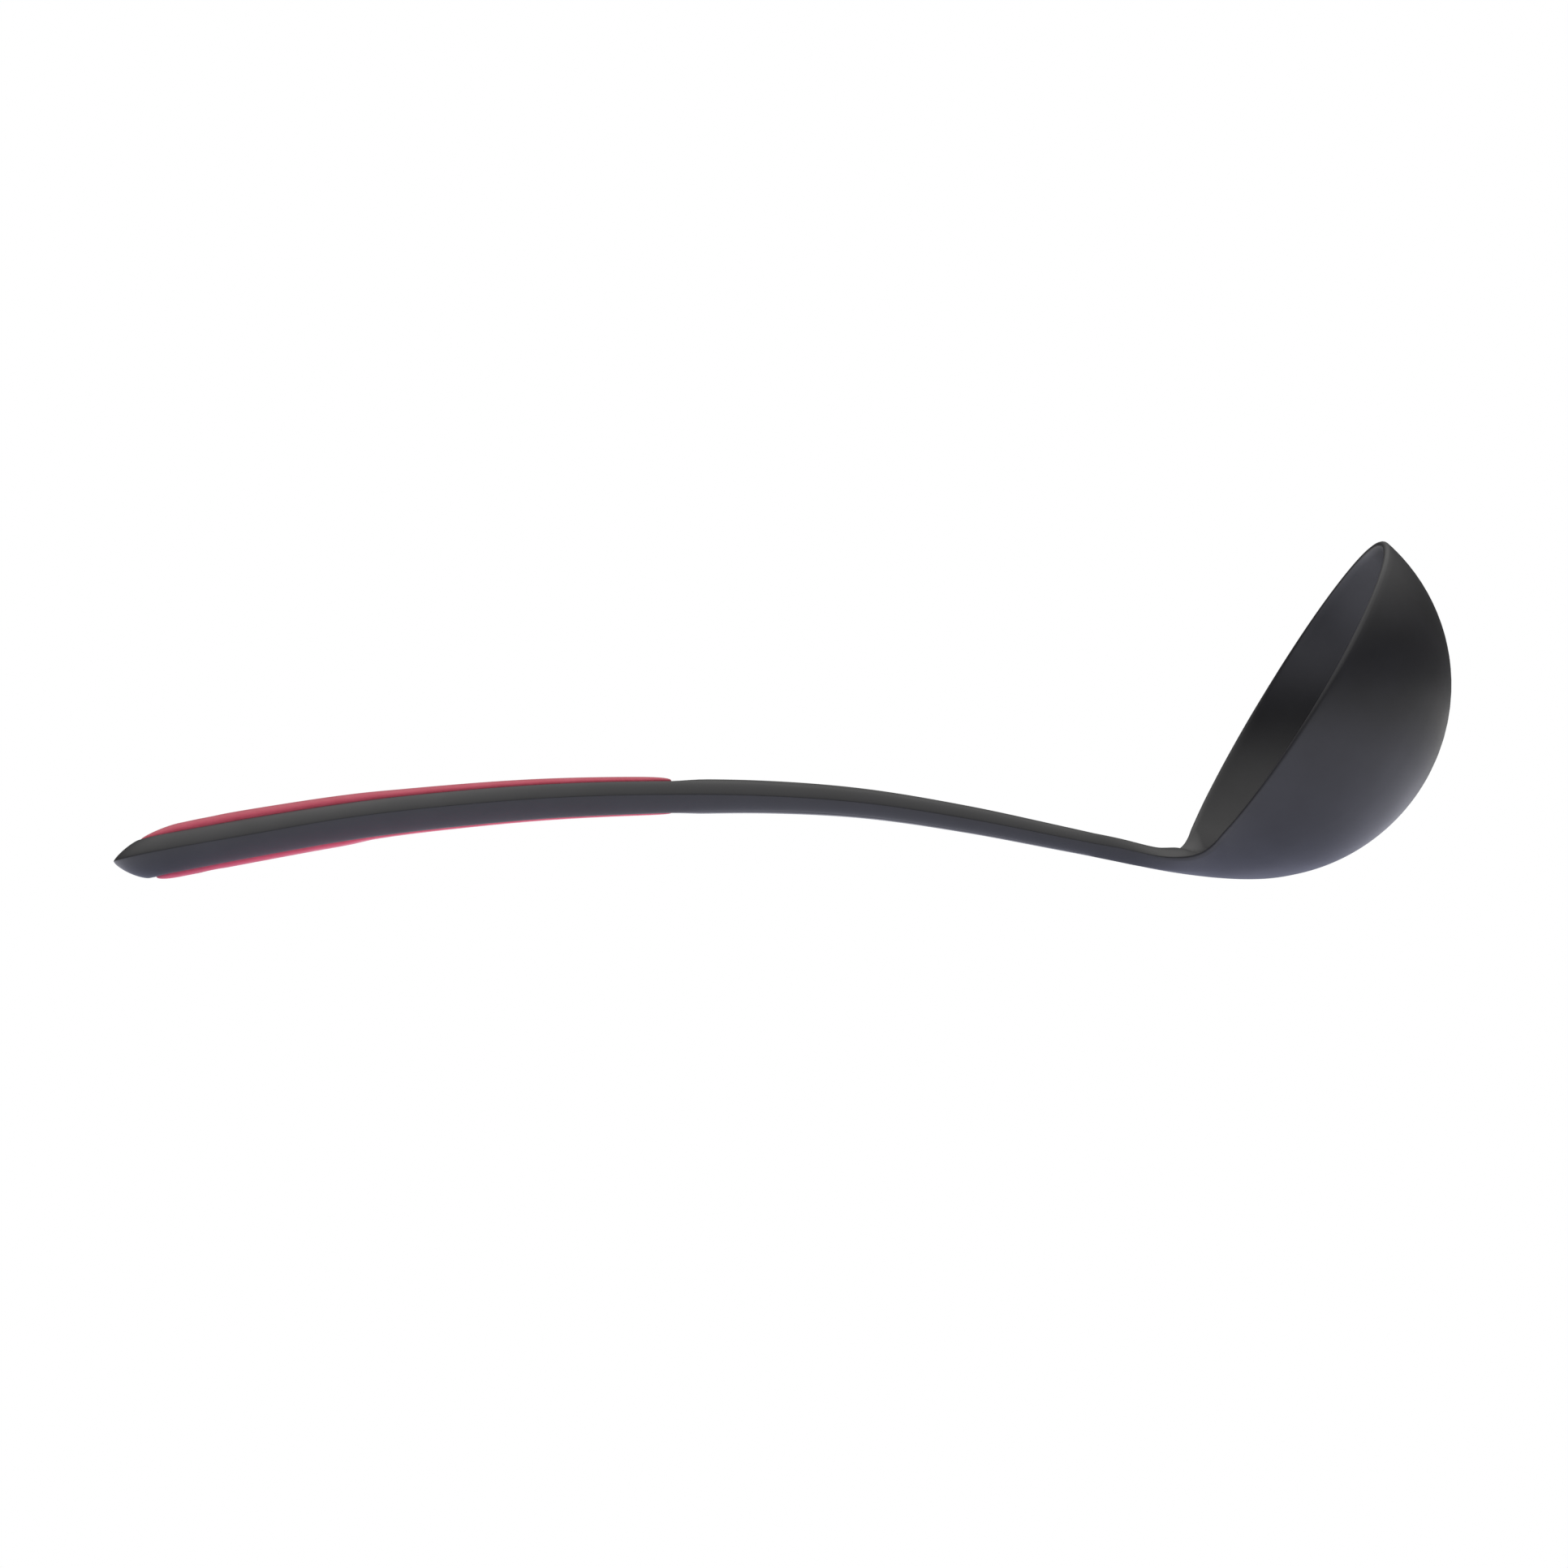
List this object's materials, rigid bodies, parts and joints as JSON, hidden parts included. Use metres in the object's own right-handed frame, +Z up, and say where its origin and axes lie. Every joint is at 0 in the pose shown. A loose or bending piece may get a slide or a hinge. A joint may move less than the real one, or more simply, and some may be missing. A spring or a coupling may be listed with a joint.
{
  "type": "soup ladle",
  "caption": "Soup ladle with a deep round bowl on a long arched handle, soft grip panels let into the handle, and a hole to hang it by.",
  "frame": {"origin": "middle of the bounding box at table height, with the ladle lying as it rests on a table, on its bowl and the end of its handle", "axes": "+X from the handle's tip towards the bowl, +Z up and along the hanging hole, +Y across; the ladle is the same on both sides of y = 0"},
  "size_m": [0.3284, 0.0928, 0.0829],
  "materials": {
    "black_nylon": "matte",
    "red_grip": "matte"
  },
  "bodies": {
    "root": {"bowl": "black_nylon", "handle": "black_nylon", "top_grip_panel": "red_grip", "underside_grip_panel": "red_grip"}
  },
  "joints": []
}
